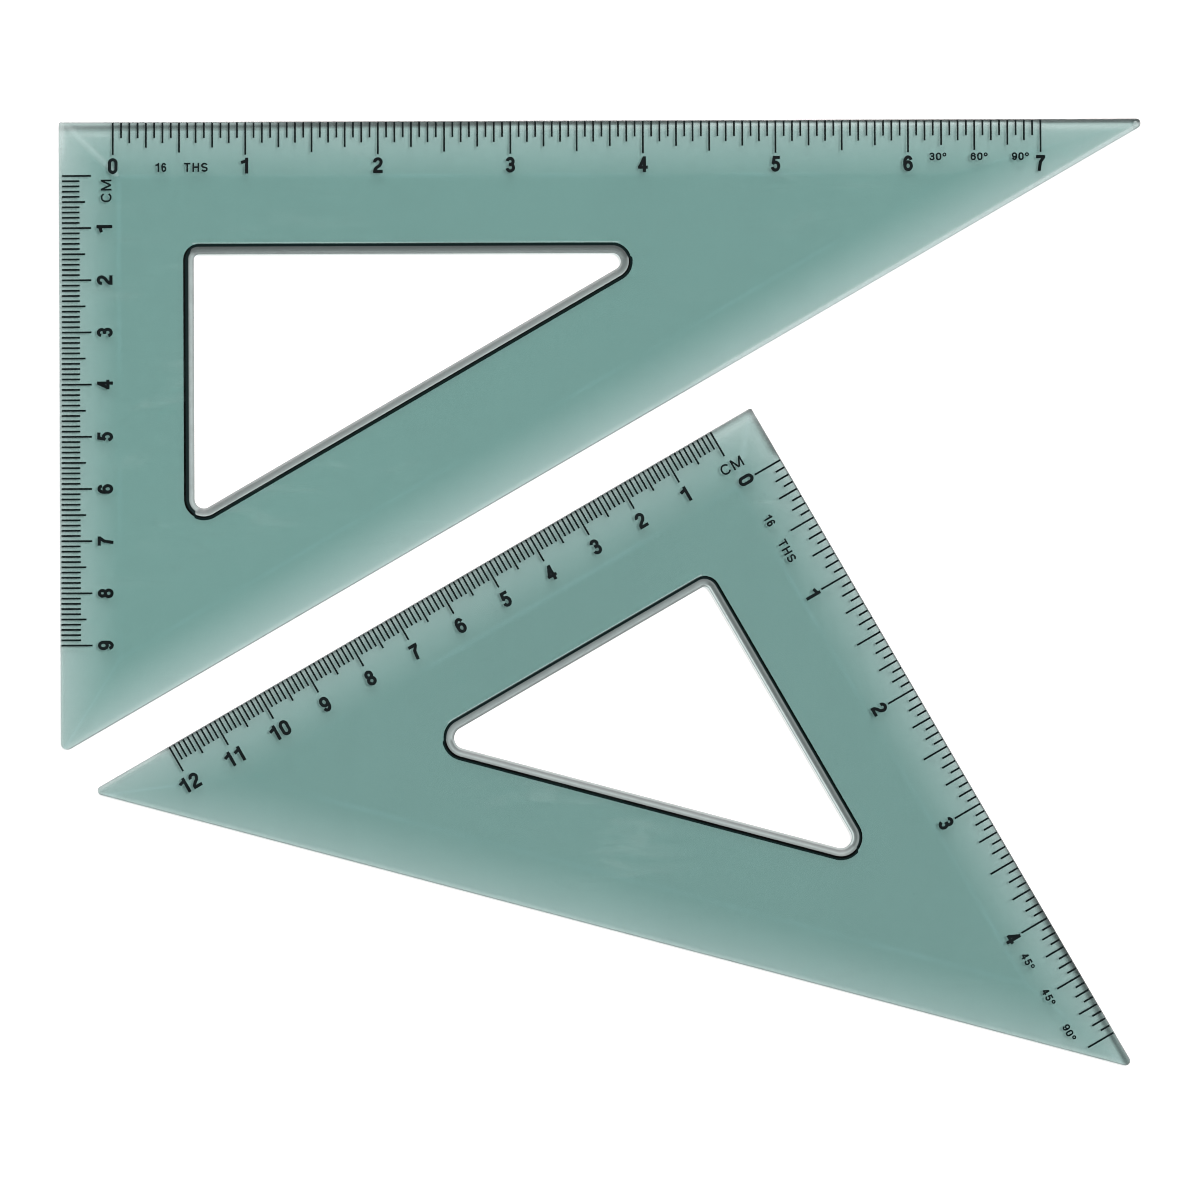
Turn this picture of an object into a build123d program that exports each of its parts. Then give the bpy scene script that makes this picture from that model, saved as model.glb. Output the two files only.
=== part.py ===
from build123d import *
import math
import os

# Pair of tinted transparent drawing set squares, laid side by side on a table.
# Millimetres. +Z up, undersides on z = 0, origin under the middle of the pair's
# box. X runs along the long scaled leg of the 30/60 square. Each square is one
# moulded plate; its print is a thin ink layer that follows the bevelled face.

# ---------------------------------------------------------------- plate sizes
MID_T = 2.0                    # thickness of the flat middle of both plates
INK_T = 0.04                   # thickness of the printed ink
EDGE_ROUND = 0.14              # rounding of the moulded top outer edges
PLAIN_CHAMFER = (0.80, 0.30)   # width and drop of the chamfer on the unscaled edges

# 30/60 square: right angle at its own origin, long leg +X, short leg -Y
LEG_LONG = 210.0               # sharp-corner length of the long leg
LEG_SHORT = LEG_LONG * math.tan(math.radians(30))
R_TIP_30 = 0.95                # outline corner radii
R_TIP_60 = 1.3
R_RIGHT_60 = 0.45
BEVEL_60 = {"long": (10.5, 1.25), "short": (11.5, 1.20), "hyp": (10.2, 1.20)}
WIN_60 = (25.8, 25.45, 86.2, 50.0)      # window corner inset, window legs
WIN_60_R = (1.0, 1.6, 1.8)              # radii at 90, 30 and 60 degree corners

# 45 square: right angle at its own origin, centimetre leg -X, inch leg -Y
LEG_45 = 146.5
R_TIP_45 = 0.9
R_RIGHT_45 = 0.5
BEVEL_45 = {"cm": (11.9, 1.30), "inch": (10.0, 1.30), "hyp": (10.2, 1.40)}
WIN_45 = (24.4, 25.05, 59.85, 59.85)
WIN_45_R = (1.0, 2.1, 2.1)

# place of the 45 square: its hypotenuse-facing leg is parallel to the 30/60
# square's hypotenuse, with a gap between them
TURN_45 = 30.0
CORNER_45 = (132.5, -55.2)

# window rim, measured outwards from the opening
RIM_LIP_W = 1.55               # width of the lip
RIM_LEDGE_W = 0.50             # width of its low ledge next to the opening
RIM_STEP_W = 0.50              # width of the steep step under the plate
RIM_LIP_Z0 = 0.62              # underside of the lip
RIM_LEDGE_Z = (1.22, 1.34)     # top of the ledge at the opening and at the slope

# ---------------------------------------------------------------- scale sizes
INCH = 25.4
TICK_W = 0.36
TICK_START = 0.17              # ink starts this far in from the edge
INCH_60 = {"zero": 10.38, "count": 7, "inch": 6.40, "half": 5.95,
           "quarter": 5.00, "eighth": 4.12, "sixteenth": 3.16, "row": 8.50}
CM_60 = {"zero": 10.35, "count": 9, "cm": 6.20, "half": 5.05, "mm": 3.97,
         "row": 8.75, "start": (0.60, 0.17)}
INCH_45 = {"zero": 11.49, "count": 5, "inch": 5.85, "half": 5.30,
           "quarter": 4.12, "eighth": 3.07, "sixteenth": 2.12, "row": 7.75}
CM_45 = {"zero": 9.08, "count": 12, "cm": 5.50, "half": 4.40, "mm": 3.45,
         "row": 8.10, "start": (0.17, 0.17)}

NUM_H, NUM_W, NUM_S, NUM_GAP = 3.05, 1.86, 0.62, 0.28
CM_H, CM_S = 2.10, 0.34
THS_H, THS_S = 1.76, 0.33
ANG_H, ANG_W, ANG_S = 1.50, 1.04, 0.31


# ------------------------------------------------------------ outline helpers
def corner_polygon(points, radii):
    """Face of a polygon with a round at each corner."""
    edges = []
    n = len(points)
    ends = []
    for i in range(n):
        p = Vector(*points[i])
        a = (Vector(*points[i - 1]) - p).normalized()
        b = (Vector(*points[(i + 1) % n]) - p).normalized()
        half = math.acos(max(-1.0, min(1.0, a.dot(b)))) / 2
        reach = radii[i] / math.tan(half)
        mid = (a + b).normalized()
        top = p + mid * (radii[i] / math.sin(half) - radii[i])
        ends.append((p + a * reach, top, p + b * reach))
    for i in range(n):
        s, m, e = ends[i]
        edges.append(ThreePointArc(s, m, e))
        edges.append(Line(e, ends[(i + 1) % n][0]))
    return make_face(edges)


def grow_triangle(tri, by):
    """Corner points of a triangle whose sides are moved outwards."""
    n = len(tri)
    cx = sum(p[0] for p in tri) / n
    cy = sum(p[1] for p in tri) / n
    lines = []
    for i in range(n):
        x0, y0 = tri[i]
        x1, y1 = tri[(i + 1) % n]
        nx, ny = y1 - y0, x0 - x1
        size = math.hypot(nx, ny)
        nx, ny = nx / size, ny / size
        if nx * (cx - x0) + ny * (cy - y0) > 0:
            nx, ny = -nx, -ny
        lines.append((nx, ny, nx * x0 + ny * y0 + by))
    out = []
    for i in range(n):
        a0, b0, c0 = lines[i - 1]
        a1, b1, c1 = lines[i]
        det = a0 * b1 - a1 * b0
        out.append(((c0 * b1 - c1 * b0) / det, (a0 * c1 - a1 * c0) / det))
    return out


def half_space(p, q, inner, z0, slope):
    """Solid above the plane that passes through height z0 over the edge p-q and
    rises inwards at the given slope."""
    ux, uy = q[0] - p[0], q[1] - p[1]
    size = math.hypot(ux, uy)
    ux, uy = ux / size, uy / size
    nx, ny = -uy, ux
    if nx * (inner[0] - p[0]) + ny * (inner[1] - p[1]) < 0:
        nx, ny = -nx, -ny
    far = min(260.0, 50 / slope)
    sx, sy = p[0] - ux * 150, p[1] - uy * 150
    section = []
    for d, z in ((-3, z0 - 3 * slope), (far, z0 + far * slope), (far, 60), (-3, 60)):
        section.append(Vector(sx + nx * d, sy + ny * d, z))
    face = make_face(Polyline(*section, close=True))
    return extrude(face, amount=size + 300, dir=Vector(ux, uy, 0))


def above_bevel(p, q, inner, width, edge_h, lift=0.0):
    """Solid above one bevel plane, which rises from edge_h at the edge p-q to
    the middle thickness at the bevel's inner line."""
    return half_space(p, q, inner, edge_h + lift, (MID_T - edge_h) / width)


def moulded_plate(tri, radii, bevels, window, window_radii):
    """Bevelled plate with a rimmed triangular window, and the thin skin that
    its ink lies in."""
    inner = (sum(p[0] for p in tri) / 3, sum(p[1] for p in tri) / 3)
    cutters = [above_bevel(p, q, inner, w, e) for p, q, w, e in bevels]
    lifted = [above_bevel(p, q, inner, w, e, INK_T) for p, q, w, e in bevels]

    plate = extrude(corner_polygon(tri, radii), amount=MID_T)
    for c in cutters:
        plate = plate - c

    # soft top outer edges: two narrow facets along each straight edge
    k = EDGE_ROUND * (1 - math.sqrt(0.5))
    width, drop = PLAIN_CHAMFER
    p, q, w, e = bevels[-1]                       # the unscaled long edge
    fall = (drop + width * (MID_T - e) / w) / width
    plate = plate - half_space(p, q, inner, e - drop, fall)
    for p, q, w, e in bevels[:-1] + [(p, q, w, e - drop)]:
        for z, slope, d in ((e - EDGE_ROUND, math.tan(math.radians(67.5)), 0.0),
                            (e - k, math.tan(math.radians(22.5)), k)):
            plate = plate - half_space(p, q, inner, z - slope * d, slope)

    # window: straight opening, steep step below, sloping lip above
    def outline(by):
        return corner_polygon(grow_triangle(window, by),
                              [r + by for r in window_radii])

    def tapered(z0, by0, z1, by1):
        return loft([Pos(0, 0, z0) * outline(by0), Pos(0, 0, z1) * outline(by1)],
                    ruled=True)

    plate = plate - Pos(0, 0, -1) * extrude(outline(0), amount=MID_T + 2)
    step = RIM_STEP_W / RIM_LIP_Z0
    plate = plate - tapered(-0.3, RIM_LIP_W + RIM_STEP_W + 0.3 * step,
                            RIM_LIP_Z0, RIM_LIP_W)
    low_z, high_z = RIM_LEDGE_Z
    ledge = RIM_LEDGE_W / (high_z - low_z)
    plate = plate - tapered(low_z - 0.12, -0.12 * ledge, high_z, RIM_LEDGE_W)
    slope = (RIM_LIP_W - RIM_LEDGE_W) / (MID_T - high_z)
    plate = plate - tapered(high_z, RIM_LEDGE_W, MID_T + 0.3, RIM_LIP_W + 0.3 * slope)

    xs = [p[0] for p in tri]
    ys = [p[1] for p in tri]
    low = Box(max(xs) - min(xs) + 20, max(ys) - min(ys) + 20, MID_T,
              align=(Align.CENTER, Align.CENTER, Align.MIN))
    high = Box(max(xs) - min(xs) + 12, max(ys) - min(ys) + 12, MID_T + INK_T - 0.3,
               align=(Align.CENTER, Align.CENTER, Align.MIN))
    mid = Pos((max(xs) + min(xs)) / 2, (max(ys) + min(ys)) / 2, 0)
    low, high = mid * low, mid * Pos(0, 0, 0.3) * high
    for c in cutters:
        low = low - c
    for c in lifted:
        high = high - c
    return plate, high - low


# -------------------------------------------------------------- glyph strokes
def arc(cx, cy, rx, ry, a0, a1, step=15):
    count = max(2, int(round(abs(a1 - a0) / step)))
    return [(cx + rx * math.cos(math.radians(a0 + (a1 - a0) * i / count)),
             cy + ry * math.sin(math.radians(a0 + (a1 - a0) * i / count)))
            for i in range(count + 1)]


def glyph_strokes(ch, w, h, s):
    """Centre lines of one character in a w by h box, drawn s wide.
    Returns (points, closed) pairs."""
    x0, x1, xm = s / 2, w - s / 2, w / 2
    y0, y1 = s / 2, h - s / 2
    r = (x1 - x0) / 2
    ring = min(r, (y1 - y0) / 2)
    if ch == "0":
        return [(arc(xm, y1 - ring, r, ring, 0, 180) + arc(xm, y0 + ring, r, ring, 180, 360), True)]
    if ch == "1":
        bar = xm + 0.14 * w
        return [([(bar, 0), (bar, h)], False),
                ([(bar + s * 0.30, h - s * 0.42), (bar - s * 0.30, h - 1.05 * s),
                  (bar - s * 1.75, h - 1.52 * s)], False)]
    if ch == "2":
        top = arc(xm, y1 - 0.98 * r, r, 0.98 * r, 188, -22)
        return [(top + [(x1 - 0.40 * r, 0.49 * h), (x0 + 0.62 * r, 0.34 * h),
                        (x0 + 0.12 * r, 0.22 * h), (x0 + 0.02 * r, y0 * 0.4)], False),
                ([(x0 * 0.1, y0), (w, y0)], False)]
    if ch == "3":
        up = (y1 - y0) * 0.245
        dn = (y1 - y0) * 0.272
        return [(arc(xm - 0.02 * w, y1 - up, r * 0.90, up, 172, -90) +
                 [(xm - 0.16 * w, y1 - 2 * up)], False),
                ([(xm - 0.16 * w, y0 + 2 * dn)] +
                 arc(xm - 0.02 * w, y0 + dn, r, dn, 90, -170), False)]
    if ch == "4":
        bar = x0 + 0.72 * (x1 - x0)
        return [([(bar, 0), (bar, h)], False),
                ([(0, 0.315 * h), (w, 0.315 * h)], False),
                ([(bar - s * 0.1, h - s * 0.45), (x0 + s * 0.02, 0.315 * h)], False)]
    if ch == "5":
        dn = (y1 - y0) * 0.315
        return [([(x0 + 0.20 * w, y1), (w * 0.94, y1)], False),
                ([(x0 + 0.22 * w, h), (x0 + 0.10 * w, y0 + 1.72 * dn)], False),
                ([(x0 + 0.02 * w, y0 + 1.50 * dn)] +
                 arc(xm - 0.01 * w, y0 + dn, r, dn, 128, -168), False)]
    if ch in "69":
        dn = (y1 - y0) * 0.305
        strokes = [(arc(xm, y0 + dn, r, dn, 0, 360)[:-1], True),
                   ([(x0, y0 + dn * 0.9)] +
                    arc(xm, y1 - 1.45 * r, r, 1.45 * r, 180, 22), False)]
        if ch == "9":
            strokes = [([(w - x, h - y) for x, y in pts], c) for pts, c in strokes]
        return strokes
    if ch == "7":
        return [([(0.03 * w, y1), (x1 + s * 0.45, y1)], False),
                ([(x1 + 0.02 * w, h - s * 0.55), (x1 - 0.34 * w, 0.58 * h),
                  (xm - 0.08 * w, 0.30 * h), (xm - 0.14 * w, 0)], False)]
    if ch == "8":
        up = (y1 - y0) * 0.238
        dn = (y1 - y0) * 0.262
        return [(arc(xm, y1 - up, r * 0.86, up, 0, 360)[:-1], True),
                (arc(xm, y0 + dn, r, dn, 0, 360)[:-1], True)]
    if ch == "C":
        return [(arc(xm, y1 - ring * 0.95, r, ring * 0.95, 25, 180) +
                 arc(xm, y0 + ring * 0.95, r, ring * 0.95, 180, 335), False)]
    if ch == "M":
        return [([(x0, 0), (x0, h)], False), ([(x1, 0), (x1, h)], False),
                ([(x0 + s * 0.05, h - s * 0.15), (xm, s * 0.45)], False),
                ([(x1 - s * 0.05, h - s * 0.15), (xm, s * 0.45)], False)]
    if ch == "T":
        return [([(0, y1), (w, y1)], False), ([(xm, 0), (xm, h - s * 0.4)], False)]
    if ch == "H":
        return [([(x0, 0), (x0, h)], False), ([(x1, 0), (x1, h)], False),
                ([(x0, h * 0.52), (x1, h * 0.52)], False)]
    if ch == "S":
        up = (y1 - y0) * 0.25
        return [(arc(xm, y1 - up, r, up, 18, 235) +
                 arc(xm, y0 + up, r, up, 55, -162), False)]
    if ch == "o":                                   # degree ring
        return [(arc(xm, y1 - r, r, r, 0, 360, 30)[:-1], True)]
    raise ValueError(ch)


def stroke_outline(points, closed, s):
    """Left and right offset lines of a centre line."""
    pts = [points[0]]
    for p in points[1:]:
        if math.hypot(p[0] - pts[-1][0], p[1] - pts[-1][1]) > 1e-4:
            pts.append(p)
    if closed and math.hypot(pts[0][0] - pts[-1][0], pts[0][1] - pts[-1][1]) < 1e-4:
        pts.pop()
    n = len(pts)
    left, right = [], []
    for i in range(n):
        if closed or 0 < i < n - 1:
            a, b, c = pts[i - 1], pts[i], pts[(i + 1) % n]
        elif i == 0:
            a, b, c = pts[0], pts[0], pts[1]
        else:
            a, b, c = pts[n - 2], pts[n - 1], pts[n - 1]
        dirs = []
        for p, q in ((a, b), (b, c)):
            size = math.hypot(q[0] - p[0], q[1] - p[1])
            if size > 0:
                dirs.append(((q[0] - p[0]) / size, (q[1] - p[1]) / size))
        nx = -sum(d[1] for d in dirs)
        ny = sum(d[0] for d in dirs)
        size = math.hypot(nx, ny)
        nx, ny = nx / size, ny / size
        turn = max(0.6, nx * -dirs[0][1] + ny * dirs[0][0])
        k = s / 2 / turn
        left.append((b[0] + nx * k, b[1] + ny * k))
        right.append((b[0] - nx * k, b[1] - ny * k))
    return left, right


def polygon_face(points):
    return make_face(Polyline(*[Vector(x, y, 0) for x, y in points], close=True))


def glyph_prism(ch, w, h, s, place):
    """Tall prism of one character, centred in its box, put at place."""
    body = None
    for pts, closed in glyph_strokes(ch, w, h, s):
        left, right = stroke_outline(pts, closed, s)
        if closed:
            big, small = (left, right)
            if _area(big) < _area(small):
                big, small = small, big
            face = extrude(polygon_face(big), amount=4) - extrude(polygon_face(small), amount=4)
        else:
            face = extrude(polygon_face(left + right[::-1]), amount=4)
        body = face if body is None else body + face
    return place * Pos(-w / 2, -h / 2, 0) * body


def _area(pts):
    return abs(sum(pts[i - 1][0] * pts[i][1] - pts[i][0] * pts[i - 1][1]
                   for i in range(len(pts)))) / 2


def text_prisms(text, widths, h, s, gap, place):
    """Prisms of a short run of characters, centred on place."""
    total = sum(widths) + gap * (len(text) - 1)
    x = -total / 2
    out = []
    for ch, w in zip(text, widths):
        if ch == "o":
            out.append(glyph_prism("o", w, w, s * 0.8, place * Pos(x + w / 2, h / 2 - w / 2, 0)))
        elif ch != " ":
            out.append(glyph_prism(ch, w, h, s, place * Pos(x + w / 2, 0, 0)))
        x += w + gap
    return out


def numeral_prisms(value, place):
    text = str(value)
    return text_prisms(text, [NUM_W] * len(text), NUM_H, NUM_S, NUM_GAP, place)


def angle_prisms(angles, place):
    """Row of corner angles with degree rings, spread over 18.8 mm."""
    out = []
    for i, a in enumerate(angles):
        out += text_prisms(str(a) + "o", [ANG_W, ANG_W, 0.78], ANG_H, ANG_S, 0.22,
                           place * Pos((i - 1) * 7.9, 0, 0))
    return out


# --------------------------------------------------------------- tick helpers
def tick_prism(along, start, end, frame):
    """Tall prism of one tick; frame turns (along, depth) into a place."""
    bar = Box(TICK_W, end - start, 4, align=(Align.CENTER, Align.MAX, Align.MIN))
    return frame(along, start) * bar


def inch_classes(spec, frame):
    out = {"inch": [], "half_inch": [], "quarter_inch": [], "eighth_inch": [],
           "sixteenth_inch": []}
    for k in range(spec["count"] * 16 + 1):
        if k % 16 == 0:
            name, size = "inch", spec["inch"]
        elif k % 8 == 0:
            name, size = "half_inch", spec["half"]
        elif k % 4 == 0:
            name, size = "quarter_inch", spec["quarter"]
        elif k % 2 == 0:
            name, size = "eighth_inch", spec["eighth"]
        else:
            name, size = "sixteenth_inch", spec["sixteenth"]
        out[name].append(tick_prism(spec["zero"] + k * INCH / 16, TICK_START, size, frame))
    return out


def cm_classes(spec, frame):
    out = {"cm": [], "half_cm": [], "mm": []}
    last = spec["count"] * 10
    for k in range(last + 1):
        if k % 10 == 0:
            name, size = "cm", spec["cm"]
        elif k % 5 == 0:
            name, size = "half_cm", spec["half"]
        else:
            name, size = "mm", spec["mm"]
        s0, s1 = spec["start"]
        out[name].append(tick_prism(spec["zero"] + k, s0 + (s1 - s0) * k / last, size, frame))
    return out


def ink(prisms, skin):
    """Prisms cut down to the ink skin, as one group of separate solids."""
    solids = []
    for p in prisms:
        cut = p & skin
        solids += list(cut.solids())
    return Compound(solids)


def write(name, shape):
    export_step(shape, os.path.join("parts", name + ".step"))


# ============================================================ 30/60 square
tri_60 = [(0.0, 0.0), (LEG_LONG, 0.0), (0.0, -LEG_SHORT)]
bev_60 = [(tri_60[0], tri_60[1], *BEVEL_60["long"]),
          (tri_60[0], tri_60[2], *BEVEL_60["short"]),
          (tri_60[1], tri_60[2], *BEVEL_60["hyp"])]
wx, wy, wa, wb = WIN_60
window_60 = [(wx, -wy), (wx + wa, -wy), (wx, -wy - wb)]
plate_60, skin_60 = moulded_plate(tri_60, [R_RIGHT_60, R_TIP_30, R_TIP_60], bev_60,
                                  window_60, list(WIN_60_R))


def top_60(along, depth):
    return Pos(along, -depth, 0)


def left_60(along, depth):
    return Pos(depth, -along, 0) * Rot(0, 0, 90)


groups_60 = {}
for name, prisms in inch_classes(INCH_60, top_60).items():
    groups_60[name + "_ticks"] = prisms
for name, prisms in cm_classes(CM_60, left_60).items():
    groups_60[name + "_ticks"] = prisms
groups_60["inch_numerals"] = [p for n in range(INCH_60["count"] + 1) for p in
                              numeral_prisms(n, top_60(INCH_60["zero"] + n * INCH, INCH_60["row"]))]
groups_60["cm_numerals"] = [p for n in range(1, CM_60["count"] + 1) for p in
                            numeral_prisms(n, left_60(CM_60["zero"] + n * 10, CM_60["row"]))]
groups_60["cm_legend"] = text_prisms("CM", [1.80, 2.10], CM_H, CM_S, 0.42, left_60(13.25, 9.1))
groups_60["sixteenths_legend"] = (
    text_prisms("16", [0.92, 0.98], THS_H, THS_S, 0.22, top_60(19.6, 8.8)) +
    text_prisms("THS", [1.28, 1.30, 1.28], THS_H, THS_S, 0.36, top_60(26.3, 8.8)))
groups_60["angle_legend"] = angle_prisms((30, 60, 90), top_60(176.4, 7.2))

# ============================================================== 45 square
tri_45 = [(0.0, 0.0), (-LEG_45, 0.0), (0.0, -LEG_45)]
bev_45 = [(tri_45[0], tri_45[1], *BEVEL_45["cm"]),
          (tri_45[0], tri_45[2], *BEVEL_45["inch"]),
          (tri_45[1], tri_45[2], *BEVEL_45["hyp"])]
wx, wy, wa, wb = WIN_45
window_45 = [(-wx, -wy), (-wx - wa, -wy), (-wx, -wy - wb)]
plate_45, skin_45 = moulded_plate(tri_45, [R_RIGHT_45, R_TIP_45, R_TIP_45], bev_45,
                                  window_45, list(WIN_45_R))


def top_45(along, depth):
    return Pos(-along, -depth, 0)


def right_45(along, depth):
    return Pos(-depth, -along, 0) * Rot(0, 0, -90)


groups_45 = {}
for name, prisms in inch_classes(INCH_45, right_45).items():
    groups_45[name + "_ticks"] = prisms
for name, prisms in cm_classes(CM_45, top_45).items():
    groups_45[name + "_ticks"] = prisms
groups_45["inch_numerals"] = [p for n in range(INCH_45["count"]) for p in
                              numeral_prisms(n, right_45(INCH_45["zero"] + n * INCH, INCH_45["row"]))]
groups_45["cm_numerals"] = [p for n in range(1, CM_45["count"] + 1) for p in
                            numeral_prisms(n, top_45(CM_45["zero"] + n * 10, CM_45["row"]))]
groups_45["cm_legend"] = text_prisms("CM", [1.90, 2.25], CM_H, CM_S, 0.45, top_45(8.8, 7.8))
groups_45["sixteenths_legend"] = (
    text_prisms("16", [0.92, 0.98], THS_H, THS_S, 0.22, right_45(20.5, 7.8)) +
    text_prisms("THS", [1.28, 1.30, 1.28], THS_H, THS_S, 0.36, right_45(27.2, 7.8)))
groups_45["angle_legend"] = angle_prisms((45, 45, 90), right_45(126.3, 7.5))

# ============================================== common frame and STEP files
place_45 = Pos(CORNER_45[0], CORNER_45[1], 0) * Rot(0, 0, TURN_45)
b60 = plate_60.bounding_box()
b45 = (place_45 * plate_45).bounding_box()
mid_x = (min(b60.min.X, b45.min.X) + max(b60.max.X, b45.max.X)) / 2
mid_y = (min(b60.min.Y, b45.min.Y) + max(b60.max.Y, b45.max.Y)) / 2
home_60 = Pos(-mid_x, -mid_y, 0)
home_45 = home_60 * place_45
print("corner of the 30/60 square at", round(-mid_x, 4), round(-mid_y, 4))

os.makedirs("parts", exist_ok=True)
write("plate_30_60", home_60 * plate_60)
write("plate_45", home_45 * plate_45)
for label, groups, skin, home in (("30_60", groups_60, skin_60, home_60),
                                  ("45", groups_45, skin_45, home_45)):
    for name, prisms in groups.items():
        write(name + "_" + label, home * ink(prisms, skin))
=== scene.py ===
import math

import bpy
from mathutils import Matrix, Vector

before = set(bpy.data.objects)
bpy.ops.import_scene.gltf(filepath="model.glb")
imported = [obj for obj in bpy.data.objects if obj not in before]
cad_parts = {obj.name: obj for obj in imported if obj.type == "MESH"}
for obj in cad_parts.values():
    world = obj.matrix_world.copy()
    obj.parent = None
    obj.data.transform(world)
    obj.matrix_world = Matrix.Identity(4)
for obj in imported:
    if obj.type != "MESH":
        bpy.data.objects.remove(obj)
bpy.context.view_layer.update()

KEY_AZIMUTH = 28.0            # small key light, nearly overhead, from the right
KEY_FROM_ZENITH = 17.0
KEY_POWER = 2.4
BOX_AZIMUTH = 92.0            # large soft box, low, from the top of the picture
BOX_HEIGHT = 45.0
BOX_POWER = 6.9
FILL = 0.48

# Plate geometry in the row frame, metres: a point on each outer edge, the
# inward normal's angle, and the bevel's width and edge thickness.
MID_T = 0.0020
CORNER_60 = (-0.1037023, 0.0907705)
CORNER_45 = (0.0287977, 0.0355705)
TIP_45 = (CORNER_45[0] + 0.1465 * math.cos(math.radians(210)),
          CORNER_45[1] + 0.1465 * math.sin(math.radians(210)))
BEVELS = {
    "plate_30_60": ((CORNER_60, -90.0, 0.0105, 0.00125),
                    (CORNER_60, 0.0, 0.0115, 0.00120),
                    ((CORNER_60[0] + 0.210, CORNER_60[1]), 120.0, 0.0102, 0.00120)),
    "plate_45": ((CORNER_45, -60.0, 0.0119, 0.00130),
                 (CORNER_45, 210.0, 0.0100, 0.00130),
                 (TIP_45, 75.0, 0.0102, 0.00140)),
}
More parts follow.
